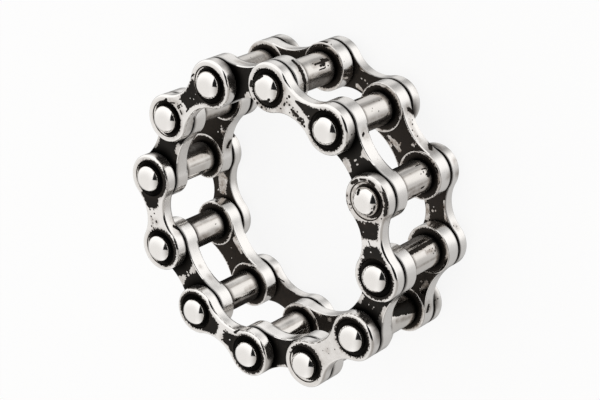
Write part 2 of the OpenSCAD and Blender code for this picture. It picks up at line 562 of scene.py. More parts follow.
# %% [markdown]
# ## From grids of points to a mesh
#
# A plate could be a cut-out with its seats and bores taken away by Boolean modifiers. Those
# leave thin slivers, and a mirror finish shows each of them. So every piece here is made of
# patches, and each patch is a grid of points, rows by columns. Grids are easy to think about,
# and they give even quads that shade cleanly. Where two patches meet they share their border
# points, and the weld turns them into one closed skin.

# %% Patches to a mesh
WELD = 0.0004


class Shape(NamedTuple):
    """One closed mesh, in millimetres."""

    points: np.ndarray
    faces: list


def skin(patches):
    """One closed mesh, from grids of points that share their borders."""
    net = bmesh.new()
    for grid in patches:
        rows, columns = grid.shape[:2]
        made = [net.verts.new(point) for point in grid.reshape(-1, 3)]
        for row in range(rows - 1):
            for column in range(columns - 1):
                first = row * columns + column
                corners = (first, first + columns, first + columns + 1, first + 1)
                net.faces.new([made[corner] for corner in corners])
    bmesh.ops.remove_doubles(net, verts=net.verts, dist=WELD)
    bmesh.ops.recalc_face_normals(net, faces=net.faces)
    net.verts.index_update()
    points = np.array([vert.co for vert in net.verts])
    faces = [[vert.index for vert in face.verts] for face in net.faces]
    net.free()
    return Shape(points, faces)


def make_piece(name, shape, place, finish, material):
    """A mesh of its own for one piece, with its three finish numbers at each point."""
    mesh = bpy.data.meshes.new(name)
    placed = shape.points @ np.array(place.to_3x3()).T + np.array(place.translation)
    mesh.from_pydata(placed * MM, [], shape.faces)
    for label, values in zip(FINISH_NUMBERS, finish):
        numbers = mesh.attributes.new(label, "FLOAT", "POINT")
        numbers.data.foreach_set("value", np.asarray(values, np.float32))
    mesh.shade_smooth()
    mesh.materials.append(material)
    piece = bpy.data.objects.new(name + "_polished", mesh)
    bpy.context.scene.collection.objects.link(piece)
    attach(piece, "root")
    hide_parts(name)


# %% [markdown]
# ## Rounded edges
#
# A Bevel modifier rounds an edge with one arc, and a worn edge isn't one arc. The photograph
# shows a bright rim, a narrow steep facet that catches the dark card, and then the side. So an
# edge is built of several arcs: each turns the surface through some degrees at its own radius,
# and the radii set how wide each reflection is.

# %% Edge profiles
def edge_profile(arcs, steps_per_arc):
    """Points from the face down to the side, as (inset from the side, depth under the face)."""
    out, depth, tilt = 0.0, 0.0, 0.0
    walked = [(0.0, 0.0)]
    for (radius, tilt_to), steps in zip(arcs, steps_per_arc):
        sweep = math.radians(tilt_to) - tilt
        for step in range(steps):
            start, end = tilt + sweep * step / steps, tilt + sweep * (step + 1) / steps
            out += radius * (math.sin(end) - math.sin(start))
            depth += radius * (math.cos(start) - math.cos(end))
            walked.append((out, depth))
        tilt = math.radians(tilt_to)
    whole = walked[-1][0]
    return [(whole - out, depth) for out, depth in walked]


OUTER_RIM = edge_profile(((0.16, 50), (0.55, 71), (0.16, 90)), (4, 6, 3))
INNER_RIM = edge_profile(((0.08, 50), (0.22, 71), (0.07, 90)), (3, 4, 2))
BOSS_RIM = edge_profile(((0.06, 57), (0.16, 80), (0.04, 90)), (3, 3, 2))
SOFT_BACK = edge_profile(((0.08, 90),), (3,))
print("outer rim inset and depth, mm:", round(OUTER_RIM[0][0], 3), round(OUTER_RIM[-1][1], 3))

# %% [markdown]
# ## The outline of a plate
#
# A plate's outline is four arcs that run smoothly into each other: two round eyes and two
# hollow flanks. An arc's offset is an arc with the same middle, so an edge ring at any inset is
# exact: the eyes' radii shrink by the inset and the flanks' radii grow by it. Outer and inner
# plates have the same eyes, and only the width of the waist tells them apart.

# %% Plate outline
EYE_STEPS = 76
FLANK_STEPS = 54
NOSE_STEPS = 40
RADIAL_STEPS = 7
WALL_STEPS = 7


def arc_points(middle, radius, start, end, steps):
    """Points on an arc from one angle to another, both ends included."""
    angles = np.linspace(start, end, steps + 1)
    return np.stack([middle[0] + radius * np.cos(angles), middle[1] + radius * np.sin(angles)], 1)


class Outline:
    """The outline of a plate with that waist, lying along X round the origin."""

    def __init__(self, waist):
        half = waist / 2
        self.flank_r = ((PITCH / 2) ** 2 + half**2 - EYE_R**2) / (2 * EYE_R - waist)
        self.flank_y = half + self.flank_r
        self.join = math.atan2(self.flank_y, PITCH / 2)
        self.joins_at = PITCH / 2 - EYE_R * math.cos(self.join)
        self.sweep = math.pi - self.join

    def eye(self, side, radius):
        """The round end of a plate, on the right with side 1 and on the left with side -1."""
        return side * arc_points((PITCH / 2, 0), radius, -self.sweep, self.sweep, EYE_STEPS)

    def nose(self, side, radius):
        """The rest of that circle, which faces the waist, from the top flank down."""
        arc = arc_points((PITCH / 2, 0), radius, self.sweep, 2 * math.pi - self.sweep, NOSE_STEPS)
        return arc * (side, 1)

    def flank(self, inset):
        """The top flank, from the right eye to the left one."""
        start, end = -self.join, self.join - math.pi
        return arc_points((0, self.flank_y), self.flank_r + inset, start, end, FLANK_STEPS)

    def loop(self, inset):
        """The whole outline, drawn in from the plate's own edge by the inset."""
        top = self.flank(inset)
        parts = [self.eye(1, EYE_R - inset), top, self.eye(-1, EYE_R - inset), -top]
        return np.concatenate([part[:-1] for part in parts] + [parts[0][:1]])

    def edge_distance(self, flat, side):
        """How far inside the edge a point lies, seen from the flank on that side."""
        to_flank = np.hypot(flat[:, 0], self.flank_y - side * flat[:, 1]) - self.flank_r
        to_eye = EYE_R - np.hypot(np.abs(flat[:, 0]) - PITCH / 2, flat[:, 1])
        return np.where(np.abs(flat[:, 0]) < self.joins_at, to_flank, to_eye)

    def outward(self, flat):
        """The direction from each point straight out to the nearest edge."""
        from_eye = np.stack([flat[:, 0] - np.sign(flat[:, 0]) * PITCH / 2, flat[:, 1]], 1)
        to_flank = np.stack([-flat[:, 0], np.sign(flat[:, 1]) * self.flank_y - flat[:, 1]], 1)
        way = np.where(np.abs(flat[:, :1]) < self.joins_at, to_flank, from_eye)
        # The middle of an eye has no way out, and its length of 0 may not divide
        return way / np.maximum(np.linalg.norm(way, axis=1, keepdims=True), 1e-9)


OUTER = Outline(OUTER_WAIST)
INNER = Outline(INNER_WAIST)
print(f"flank radii, mm: outer {OUTER.flank_r:.2f}, inner {INNER.flank_r:.2f}")

# %% [markdown]
# Between the outline and the two round seats lies the plate's face. Round each eye it is a
# plain ring. The waist is a four-sided patch: two sides are flanks, and the other two run from
# the outline in to the seat, along its nose and out again. The points inside such a patch come
# from its four borders, each weighed by how near it is.

# %% The face between outline and seats
def waist_patch(top, bottom, right, left):
    """A grid between four borders: top and bottom run from right to left, and right and left
    from top to bottom."""
    lengths = np.linalg.norm(np.diff(right, axis=0), axis=1)
    down = (np.concatenate([[0], np.cumsum(lengths)]) / lengths.sum())[:, None, None]
    over = np.linspace(0, 1, len(top))[None, :, None]
    sides = (1 - over) * right[:, None] + over * left[:, None]
    ends = (1 - down) * top[None] + down * bottom[None]
    corners = (1 - down) * ((1 - over) * top[0] + over * top[-1]) + down * (
        (1 - over) * bottom[0] + over * bottom[-1]
    )
    return sides + ends - corners


def at_height(flat, height):
    """Flat points lifted to that height."""
    return np.concatenate([flat, np.full(flat.shape[:-1] + (1,), height)], -1)


def face_patches(outline, inset, circle, height):
    """The flat part of a plate's face, from the outline at that inset to a circle in each eye."""
    radii = np.linspace(EYE_R - inset, circle, RADIAL_STEPS + 1)
    eyes = [np.stack([outline.eye(side, radius) for radius in radii]) for side in (1, -1)]
    borders = []
    for side in (1, -1):
        spoke = eyes[0][:, -1] * (side, 1)
        nose = outline.nose(side, circle)
        borders.append(np.concatenate([spoke, nose[1:-1], spoke[::-1] * (1, -1)]))
    top = outline.flank(inset)
    waist = waist_patch(top, top * (1, -1), *borders)
    return [at_height(patch, height) for patch in eyes + [waist]]


def round_patches(outline, levels):
    """A turned surface round each eye's middle, through (radius, height) levels."""
    return [
        np.stack([at_height(arc(side, radius), height) for radius, height in levels])
        for side in (1, -1) for arc in (outline.eye, outline.nose)
    ]


def edge_patch(outline, levels):
    """The band round the whole outline, through (inset, height) levels."""
    return np.stack([at_height(outline.loop(inset), height) for inset, height in levels])


def side_levels(high, low):
    """The plain side wall between two heights, both left out."""
    return [(0.0, height) for height in np.linspace(high, low, WALL_STEPS + 1)[1:-1]]


# %% [markdown]
# ## Outer plates
#
# An outer plate is stamped from thick strip. Its outward face has the worn rim, and a sunk seat
# with a soft floor round each pin head. All levels are listed from the outside in. The plates
# are alike, so one shape is made and every plate takes its own copy with its own tarnish.

# %% Outer plate shape
SEAT_LIP = [(0.13, 0.0), (0.07, 0.012), (0.03, 0.035), (0.0, 0.08)]
SEAT_WALL = [(0.0, 0.15), (0.04, 0.22), (0.10, 0.27), (0.18, SEAT_DEPTH)]
SEAT_FLOOR = (1.3, 1.18, 1.05, BORE_R)


def outer_plate_shape():
    face, back = OUTER_FACE, OUTER_BACK
    rim = [(inset, face - depth) for inset, depth in OUTER_RIM]
    rear = [(inset, back + depth) for inset, depth in SOFT_BACK][::-1]
    wall = side_levels(rim[-1][1], rear[0][1])
    seat = [(SEAT_R + out, face - down) for out, down in SEAT_LIP]
    seat += [(SEAT_R - inward, face - down) for inward, down in SEAT_WALL]
    seat += [(radius, face - SEAT_DEPTH) for radius in SEAT_FLOOR] + [(BORE_R, back)]
    patches = face_patches(OUTER, rim[0][0], seat[0][0], face)
    patches.append(edge_patch(OUTER, rim + wall + rear))
    patches += round_patches(OUTER, seat)
    patches += face_patches(OUTER, rear[-1][0], BORE_R, back)
    return skin(patches)


outer_plate = outer_plate_shape()
print("outer plate:", len(outer_plate.points), "points,", len(outer_plate.faces), "faces")

# %% [markdown]
# ## Inner plates
#
# An inner plate is wider and thicker at the waist. Its outward face is plain, and each end has a
# low round boss on the roller side. The boss is a full disc: its nose stands a step above the
# waist, and the polishing has left a bright line round it. An outer plate could be scaled to
# this size, but the radii of its edges would be scaled with it. So the same helpers get another
# list of levels.

# %% Inner plate shape
BOSS_DISC = (1.3, 1.42, 1.55, 1.7, 1.85, 1.93)


def inner_plate_shape():
    face, boss, waist = INNER_FACE, BOSS_FACE, INNER_WAIST_BACK
    rim = [(inset, face - depth) for inset, depth in INNER_RIM]
    wall = side_levels(rim[-1][1], waist) + [(0.0, waist)]
    disc = [(BORE_R, face), (BORE_R, boss)] + [(radius, boss) for radius in BOSS_DISC]
    disc += [(EYE_R - inset, boss + depth) for inset, depth in BOSS_RIM] + [(EYE_R, waist)]
    patches = face_patches(INNER, rim[0][0], BORE_R, face)
    patches.append(edge_patch(INNER, rim + wall))
    patches += round_patches(INNER, disc)
    top = INNER.flank(0)
    noses = [INNER.nose(side, EYE_R) for side in (1, -1)]
    patches.append(at_height(waist_patch(top, top * (1, -1), *noses), waist))
    return skin(patches)


inner_plate = inner_plate_shape()
print("inner plate:", len(inner_plate.points), "points,", len(inner_plate.faces), "faces")

# %% [markdown]
# ## Rollers and pins
#
# Both are turned parts, so a profile is swept round an axis. The Screw modifier does the same,
# but here the points are wanted at once, because each carries its tarnish. The pin is one piece
# from head to head: a shank, a short collar in each seat and a dome.

# %% Turned parts
TURNED_STEPS = 88
DOME_ARCS = ((1.29, 60), (0.45, 90))
DOME_STEPS = (14, 8)
COLLAR_DROPS = (0.05, 0.09, 0.13, 0.17, 0.22)
FOOT_BEVEL = 0.02
ROLLER_BEVEL = 0.06
ROLLER_BEVEL_BULGE = 0.02
ROLLER_RINGS_START = 0.15
ROLLER_RINGS = 48


def turned(levels):
    """A surface of revolution through (radius, height) levels that run from axis to axis or
    end where they start."""
    angles = np.linspace(0, 2 * math.pi, TURNED_STEPS + 1)
    circle = np.stack([np.cos(angles), np.sin(angles)], 1)
    grid = np.stack([
        np.concatenate([circle * radius, np.full((TURNED_STEPS + 1, 1), height)], 1)
        for radius, height in levels
    ])
    return skin([grid])


def dome_levels():
    """From the dome's top down to its foot: a wide arc, then a tight shoulder."""
    arcs = edge_profile(DOME_ARCS, DOME_STEPS)
    return [(HEAD_R * (1 - inset / arcs[0][0]), DOME_TOP - depth) for inset, depth in arcs]


def pin_shape():
    half = dome_levels()
    half += [(HEAD_R, OUTER_FACE - drop) for drop in COLLAR_DROPS]
    half += [(HEAD_R - FOOT_BEVEL, HEAD_FOOT), (PIN_R, HEAD_FOOT), (PIN_R, 0.0)]
    lower = [(radius, -height) for radius, height in half[-2::-1]]
    return turned(half + lower)


def roller_shape():
    bulge = (ROLLER_R - ROLLER_BEVEL_BULGE, ROLLER_END - ROLLER_BEVEL_BULGE)
    bevel = [(ROLLER_R - ROLLER_BEVEL, ROLLER_END), bulge, (ROLLER_R, ROLLER_END - ROLLER_BEVEL)]
    top = ROLLER_END - ROLLER_RINGS_START
    middle = [(ROLLER_R, height) for height in np.linspace(top, -top, ROLLER_RINGS)]
    lower = [(radius, -height) for radius, height in bevel[::-1]]
    bore = [(BORE_R, -ROLLER_END), (BORE_R, ROLLER_END)]
    return turned(bevel + middle + lower + bore + bevel[:1])


pin = pin_shape()
roller = roller_shape()
print("pin:", len(pin.points), "points; roller:", len(roller.points), "points")

# %% [markdown]
# ## Charting the tarnish
#
# A polishing wheel reaches the rims and misses the hollows. Noise driven by depth would give
# that everywhere alike, but where exactly the wheel stopped is chance, and it is what makes this
# ring this ring. So the oxide on each plate is charted from the photograph. A chart is
# strokes in the plate's own millimetres: X runs towards the next pin and Y towards the middle
# of the ring. A stroke is `x, y, to x, to y, radius` with an end radius where it tapers, and a
# spot is just `x, y, radius`. Small marks are cut more sharply, or the noise would eat them.
#
# Below the face the chart goes on over the rim, as a label wraps over the edge of a tin: a
# point on the side is looked up further out, by as much as it lies below the face.

# %% Strokes
SOFT = 0.26
SMALL_MARK = 0.15
SMALL_MARK_BLUR = 0.6


def stroke_depth(flat, stroke):
    """How far inside a stroke each point lies, and less than 0 outside it."""
    if len(stroke) == 3:
        return stroke[2] - np.linalg.norm(flat - stroke[:2], axis=1)
    start, end = np.array(stroke[:2]), np.array(stroke[2:4])
    along = end - start
    share = np.clip((flat - start) @ along / (along @ along), 0, 1)
    radius = stroke[4] + (stroke[-1] - stroke[4]) * share
    return radius - np.linalg.norm(flat - start - share[:, None] * along, axis=1)


def cover(flat, strokes, soft=SOFT):
    """1 well inside the strokes, 0 on their edges and -1 well outside."""
    found = np.full(len(flat), -1.0)
    for stroke in strokes:
        sharpening = SMALL_MARK_BLUR if stroke[-1] < SMALL_MARK else 1.0
        blur = min(soft, stroke[-1] * sharpening)
        found = np.maximum(found, np.clip(stroke_depth(flat, stroke) / blur, -1, 1))
    return found


def film_cover(flat, strokes, soft=SOFT):
    """The same as a share: 1 well inside the strokes and 0 well outside."""
    return cover(flat, strokes, soft) * 0.5 + 0.5


def rounded_least(limits, corner=0.12):
    """The least of several depths, with the corners between them rounded off."""
    return -corner * np.log(sum(np.exp(-limit / corner) for limit in limits))


def between(values, start, end):
    """0 up to start, 1 from end on and a straight way between them. Start may be the greater."""
    return np.clip((values - start) / (end - start), 0, 1)


def seat_distance(points):
    """Distance from the nearer eye's middle, in the plate's own plane."""
    return np.hypot(np.abs(points[:, 0]) - PITCH / 2, points[:, 1])


# %% [markdown]
# The large patches on the waists keep an even distance from the plate's edges, because the
# wheel bends over an edge. Such a patch is `start, end, inner margin, outer margin`: two places
# along the plate and the widths of the bright margins beside it. A ring is the spot round a
# seat that kept its oxide, and `haze` is a thin film over the whole face.

# %% The outer plates' charts
class Chart(NamedTuple):
    """What is left on one outer plate."""

    patches: tuple
    rings: tuple
    dark: tuple = ()
    stain: tuple = ()
    bright: tuple = ()
    behind: tuple = ()
    haze: float = 0.0


OUTER_CHARTS = (
    Chart(
        patches=((-3.0, 0.50, 0.48, 0.22),),
        rings=((-3.2, 0.18, 1.67), (3.05, 0.04, 1.60)),
        dark=(
            (0.2, 0.5, 0.6, 0.6, 0.10, 0.06), (0.2, -0.5, 0.6, -0.6, 0.09, 0.05),
            (0.7, -0.2, 1.2, -0.25, 0.06), (0.7, 1.95, 0.9, 2.3, 0.07),
            (-0.6, 2.1, 0.1, 2.15, 0.05), (0.72, -0.02, 0.09), (1.02, -0.05, 0.10),
            (1.22, -0.08, 0.10), (1.15, 0.2, 1.2, 0.5, 0.09), (1.95, -1.3, 2.5, -1.3, 0.13),
            (-2.3, -1.5, -1.9, -1.47, 0.08), (1.3, -0.62, 1.7, -0.85, 0.06), (1.05, -0.4, 0.06),
        ),
        stain=(
            (1.15, 0.4, 1.2, -0.2, 0.22), (1.0, -0.4, 1.7, -1.0, 0.25), (-1.0, 2.0, 0.6, 2.1, 0.2),
            (0.7, 2.1, 1.5, 2.5, 0.3),
        ),
        bright=(
            (0.5, -0.1, 0.5, 0.32, 0.14), (-1.6, 0.1, 0.05), (-1.35, -0.1, 0.05),
            (-0.9, 0.15, 0.05), (-1.75, 0.75, 0.05), (-0.6, -0.1, 0.05),
        ),
    ),
    Chart(
        patches=((-3.0, -0.46, 0.50, 0.30),),
        rings=((-3.15, 0.26, 1.80), (3.10, 0.25, 1.76)),
        dark=(
            (0.0, 0.0, 0.08), (-0.35, -0.45, 0.09), (0.3, -0.45, 0.09), (0.75, 0.1, 0.13),
            (0.55, -0.3, 0.06), (0.9, -0.35, 0.07), (1.2, -0.6, 0.08), (-0.35, 0.0, 0.06),
            (1.35, -0.35, 0.08), (0.95, 2.05, 1.05, 2.4, 0.12),
        ),
        stain=((0.75, 0.05, 0.25), (0.5, -0.4, 1.3, -0.45, 0.15), (0.6, 2.1, 1.4, 2.4, 0.3)),
        bright=((-0.5, -0.85, 0.22), (-1.45, 0.95, -1.4, 0.8, 0.06)),
    ),
    Chart(
        patches=((-3.0, -0.42, 0.40, 0.32), (0.36, 3.0, 0.50, 0.45)),
        rings=((-3.19, 0.10, 1.78), (3.26, 0.05, 1.81)),
        dark=(
            (0.9, 0.35, 0.25, 0.35, 0.10), (0.7, 0.05, 0.28, 0.0, 0.09),
            (1.35, 1.1, 1.45, 1.5, 0.15), (0.3, -0.6, 0.07), (0.5, -0.5, 0.12), (0.35, 0.6, 0.06),
        ),
        bright=((1.1, 0.0, 0.07), (-4.75, 1.15, 0.12), (-0.45, 0.75, -0.75, 1.0, 0.14)),
        stain=((0.35, -0.3, 0.25),),
    ),
    Chart(
        patches=(),
        rings=((-2.84, 0.06, 1.68), (3.27, 0.03, 1.78)),
        dark=(
            (0.2, 0.2, 0.05), (0.05, -0.2, 0.05), (0.9, -0.15, 0.06), (-0.4, 0.25, 0.05),
            (-3.45, 1.7, -3.15, 1.7, 0.10), (-3.9, 1.45, 0.09), (-2.2, 1.6, 0.12),
            (-4.5, 0.8, -4.35, 1.05, 0.06),
        ),
        stain=(
            (-1.3, 0.6, -1.2, -0.6, 0.3), (1.5, 0.6, 1.5, -0.6, 0.15), (0.1, 0.1, 0.3),
            (-1.0, -2.0, 1.0, -1.9, 0.3),
        ),
        haze=0.30,
    ),
    Chart(
        patches=((-3.0, -0.52, 0.34, 0.26), (0.02, 1.5, 0.10, 0.24)),
        rings=((-3.26, -0.08, 1.74), (3.15, -0.12, 1.42)),
        dark=(
            (-0.4, 0.1, -0.1, 0.2, 0.05), (1.3, 0.7, 1.55, 1.5, 0.16), (2.85, 1.93, 0.12),
            (2.3, 1.75, 0.10), (3.5, 1.8, 0.10), (2.8, 1.62, 0.09), (3.1, 1.9, 0.07),
            (2.5, 1.55, 0.06), (4.6, 1.15, 4.85, 0.6, 0.14), (4.95, 0.3, 4.95, -0.25, 0.09),
            (4.6, -1.0, 4.85, -0.6, 0.14), (2.25, -1.8, 3.0, -2.02, 0.22),
            (3.25, -2.05, 3.95, -1.88, 0.21), (2.9, -1.6, 0.14), (3.4, -1.62, 0.10),
            (4.1, -1.55, 0.08), (1.9, -1.35, 0.07),
        ),
        stain=(
            (1.2, 0.2, 1.6, 1.4, 0.3), (1.9, -1.6, 4.2, -1.7, 0.45), (4.7, 1.0, 4.8, -0.9, 0.30),
            (2.3, 1.8, 3.6, 1.8, 0.30), (1.6, -0.4, 1.8, -1.0, 0.25), (3.175, 0.0, 1.70),
        ),
        bright=(
            (-1.5, 0.95, 0.12), (1.35, 0.4, 0.08), (0.6, 0.6, 0.05), (-1.0, 0.1, 0.05),
            (1.6, -0.55, 0.22),
        ),
    ),
    Chart(
        patches=(),
        rings=((-3.2, -0.04, 1.74), (3.12, -0.03, 1.67)),
        dark=(
            (-2.0, -0.45, -0.9, -0.58, 0.80, 0.40), (-0.9, -0.60, 0.2, -0.62, 0.36, 0.12),
            (-1.25, 0.82, 0.11), (-0.95, 0.70, 0.17), (-0.72, 0.45, 0.16), (-0.48, 0.65, 0.15),
            (-0.35, 0.40, 0.14), (-0.12, 0.42, 0.19), (0.12, 0.30, 0.18), (0.32, 0.28, 0.13),
            (-0.68, 0.62, 0.14), (0.05, 0.60, 0.08), (0.45, 0.60, 0.07), (0.30, 0.02, 0.08),
            (0.70, 0.02, 0.11), (1.15, 0.15, 1.15, 0.35, 0.10), (1.0, -0.05, 0.08),
            (1.1, -0.35, 0.09), (0.95, -0.62, 0.12), (1.35, 0.80, 0.09), (-0.2, 0.1, 0.08),
            (-0.9, 0.35, 0.09), (-1.05, 0.5, 0.10), (3.1, 1.80, 0.12), (2.6, 1.70, 0.07),
            (3.6, 1.72, 0.12), (4.0, 1.55, 0.10), (4.55, -0.75, 0.12),
            (4.75, 0.75, 4.8, 0.35, 0.10), (-5.74, -0.97, 0.11), (-6.1, -1.08, 0.09),
            (1.0, -2.44, 0.06), (0.8, -2.3, 0.05),
        ),
        stain=(
            (1.4, 0.9, 1.75, -0.8, 0.45), (-0.9, 0.75, 0.2, 0.35, 0.25), (0.8, 0.0, 1.2, 0.0, 0.25),
            (1.6, -0.8, 2.6, -1.6, 0.3), (2.4, 1.7, 4.0, 1.6, 0.3), (-5.9, -1.0, 0.25),
        ),
        bright=((-1.3, -0.2, 0.06), (-1.7, 0.25, 0.05)),
        haze=0.12,
    ),
)
print("marks on the front face:", sum(len(chart.dark + chart.bright) for chart in OUTER_CHARTS))

# %% [markdown]
# The ring's other face is seen only past its edges. Its plates borrow the charts of other
# plates, mirrored, and add the marks that the photograph shows on their sides and on the inward
# faces that look at the camera between the rollers.

# %% The charts of the other face
def mirrored_stroke(stroke):
    """The same spot or stroke with left and right exchanged."""
    if len(stroke) == 3:
        return (-stroke[0], *stroke[1:])
    return (-stroke[0], stroke[1], -stroke[2], *stroke[3:])


def mirrored(chart):
    """The same chart with left and right exchanged."""
    return chart._replace(
        patches=tuple((-end, -start, *margins) for start, end, *margins in chart.patches),
        rings=tuple(mirrored_stroke(ring) for ring in chart.rings[::-1]),
        dark=tuple(map(mirrored_stroke, chart.dark)),
        stain=tuple(map(mirrored_stroke, chart.stain)),
        bright=tuple(map(mirrored_stroke, chart.bright)),
    )


def on_sides(chart, dark=(), stain=(), behind=()):
    """The chart with more marks on its sides and wear on its inward face."""
    return chart._replace(dark=chart.dark + dark, stain=chart.stain + stain, behind=behind)


OUTER_LOWER_CHARTS = (
    mirrored(OUTER_CHARTS[2]),
    on_sides(
        mirrored(OUTER_CHARTS[3]),
        dark=((-4.95, 1.3, -4.8, 1.9, 0.2),),
        stain=((-4.9, 1.5, 0.4),),
        behind=((-0.6, 0.25, 0.5, 0.0, 0.62, 0.45), (0.5, -0.5, 0.15), (0.8, 0.3, 0.16)),
    ),
    mirrored(OUTER_CHARTS[0]),
    mirrored(OUTER_CHARTS[5]),
    on_sides(
        mirrored(OUTER_CHARTS[1]),
        dark=((-1.4, -2.0, 0.07), (-1.15, -2.2, 0.06), (-1.6, -2.3, 0.06)),
        stain=((3.96, -2.3, 0.35), (2.78, -2.35, 0.4), (-1.4, -2.1, 0.25)),
        behind=(
            (-0.9, 1.0, 0.1, 0.75, 0.42, 0.22), (-0.35, 0.3, 0.14), (-0.3, 0.0, 0.10),
            (0.0, 0.15, 0.08), (0.45, 0.9, 0.15), (-0.9, -1.15, 0.6, -1.0, 0.35, 0.12),
        ),
    ),
    on_sides(
        mirrored(OUTER_CHARTS[4]),
        behind=(
            (0.65, -1.0, -0.4, -1.1, 0.20, 0.12), (0.32, -0.2, 0.09), (-0.06, -0.26, 0.10),
            (-0.35, -0.12, 0.08), (0.45, 0.62, -0.15, 0.7, 0.22, 0.12),
        ),
    ),
)

# %% [markdown]
# The seats are the deepest hollows. Their floors keep all their oxide, and next to the pin head
# they get painted shade. The back of a plate, in the gap, was never reached. The sides get
# painted shade near the back edge, towards the gap, and over the sides of the plate's ends a
# mix of painted shade and brown grime reaches out of the gap. All of this follows from where a
# point lies, so it is worked out for every point at once, with one line for each thing that can
# happen to it.
#
# An oxide number far from 0 is safe from the noise, and one near 0 leaves the edge to it. So
# `FIRM` is used where the border has to be clean, as at a seat's wall.

# %% Finish of an outer plate
FIRM = 0.9
ON_LEVEL = 0.02
SEAT_EDGE = SEAT_R + 0.005
SEAT_BLUR = 0.10
# Painted shade in the seats, next to the pin heads
SEAT_SHADE_BLUR = 0.3
SEAT_SHADE_BELOW = 0.1
SHADE_LOST_TO_STAIN = 0.55
BACK_OXIDE, BACK_OXIDE_MOST = 0.3, 0.8
UNREACHED_STAIN = 1.4
FACE_DEPTH = 0.05
HAZE_DEPTH = 0.5
HALO_STAIN = 0.6
HALO_REACH = 0.3
TIP = (0.65, 1.0)
# How far painted shade and brown grime reach over the sides of the plate's ends
TIP_SHADE_DEPTHS = (0.22, 1.02)
TIP_GRIME_STAIN = 1.6
SHADE_POWER = 1.5
GAP_SHADE_REACH = 0.16


def outer_finish(points, chart):
    """Oxide, stain and soot at each point of an outer plate."""
    plan, height = points[:, :2], points[:, 2]
    fall = np.clip(OUTER_FACE - height, 0, None)
    outside = seat_distance(points) > SEAT_EDGE
    outward = OUTER.outward(plan)
    # A place on the side is looked up further out, by as much as it lies under the face
    flat = plan + outward * (fall * outside)[:, None]
    on_back = height < OUTER_BACK + ON_LEVEL
    in_ring = np.where(points[:, 0] < 0, *[stroke_depth(plan, ring) for ring in chart.rings])

    oxide = np.maximum(cover(flat, chart.dark), cover(flat, chart.rings))
    to_inner, to_outer = OUTER.edge_distance(flat, 1), OUTER.edge_distance(flat, -1)
    for start, end, inner_margin, outer_margin in chart.patches:
        along = (flat[:, 0] - start, end - flat[:, 0])
        limits = (*along, to_inner - inner_margin, to_outer - outer_margin)
        oxide = np.maximum(oxide, np.clip(rounded_least(limits) / SOFT, -1, 1))
    oxide = np.minimum(oxide, -cover(flat, chart.bright))
    oxide = np.where(~outside & (fall > ON_LEVEL), np.clip(in_ring / SEAT_BLUR, -FIRM, FIRM), oxide)
    back_oxide = np.minimum(BACK_OXIDE_MOST, BACK_OXIDE - cover(plan, chart.behind))
    oxide = np.where(on_back, back_oxide, oxide)

    tips = between(np.abs(outward[:, 0]), *TIP) * (np.abs(points[:, 0]) > PITCH / 2) * outside
    # Over the sides of the plate's ends: painted shade from the crevice, mixed with brown grime
    tip_shade_and_grime = tips * between(fall, *TIP_SHADE_DEPTHS)
    stain = np.maximum(film_cover(flat, chart.stain), chart.haze * (fall < HAZE_DEPTH))
    halo = HALO_STAIN * between(cover(flat, chart.rings, HALO_REACH), -1, 0) * (fall < FACE_DEPTH)
    stain = np.maximum(stain, halo)
    stain = np.where(on_back, UNREACHED_STAIN, stain)
    stain = np.maximum(stain, np.clip(TIP_GRIME_STAIN * tip_shade_and_grime, 0, 1))

    # Painted shade on a seat's floor next to the pin head, lighter where the brown film lies
    seat_shade = between(in_ring, 0, SEAT_SHADE_BLUR) * (1 - SHADE_LOST_TO_STAIN * stain)
    # Painted shade on the sides near the back edge, towards the gap
    gap_shade = between(height, OUTER_BACK + GAP_SHADE_REACH, OUTER_BACK) * ~on_back
    in_seat = ~outside & (fall > SEAT_SHADE_BELOW)
    shade_and_grime = np.where(in_seat, seat_shade, np.maximum(tip_shade_and_grime**SHADE_POWER, gap_shade))
    return oxide, stain, shade_and_grime


# %% [markdown]
# A plate is drawn along X in the middle of the ring. Its link's place turns it to stand along
# the loop, moves it out to the loop's radius and swings it round to its number. A lower plate is
# the mirror image of an upper one. Mirroring turns a face inside out, so its corners are listed
# the other way round. Scaling by -1 would do that too, but the pieces would then carry a negative
# scale.

# %% Place the outer plates
def link_place(number, is_outer):
    """Outer link 1 lies on +X, and inner link 1 follows it round the loop."""
    turn_by = (2 * (number - 1) + (0 if is_outer else 1)) * STEP
    return (
        Matrix.Rotation(turn_by, 4, "Z")
        @ Matrix.Translation((LINK_R, 0, 0))
        @ Matrix.Rotation(math.pi / 2, 4, "Z")
    )


def flipped(shape):
    """The same piece on the ring's other face."""
    return Shape(shape.points * (1, 1, -1), [face[::-1] for face in shape.faces])


def make_plates(kind, shape, finish_of, upper_charts, lower_charts, material):
    """All plates of one kind, on both faces of the ring."""
    lower_shape = flipped(shape)
    for number, (upper, lower) in enumerate(zip(upper_charts, lower_charts), 1):
        place = link_place(number, kind == "outer_plate")
        finish = finish_of(shape.points, upper)
        make_piece(f"{kind}_upper_{number}", shape, place, finish, material)
        finish = finish_of(shape.points, lower)
        make_piece(f"{kind}_lower_{number}", lower_shape, place, finish, material)
    print(kind, "pieces on each face:", len(upper_charts))


make_plates(
    "outer_plate", outer_plate, outer_finish, OUTER_CHARTS, OUTER_LOWER_CHARTS, PLATE_STEEL
)

# %% [markdown]
# Inner plates are the other way round. Their outward faces lie a step further in, under the ends
# of the outer plates, so the oxide is the rule there and the polished wear is the mark. The
# roller side is brownish and mottled, and only the edge of each boss is bright.

# %% The inner plates' charts
class InnerChart(NamedTuple):
    """Wear on the outward face and on the roller side, and marks on the sides."""

    worn: tuple = ()
    behind: tuple = ()
    dark: tuple = ()
    stain: tuple = ()


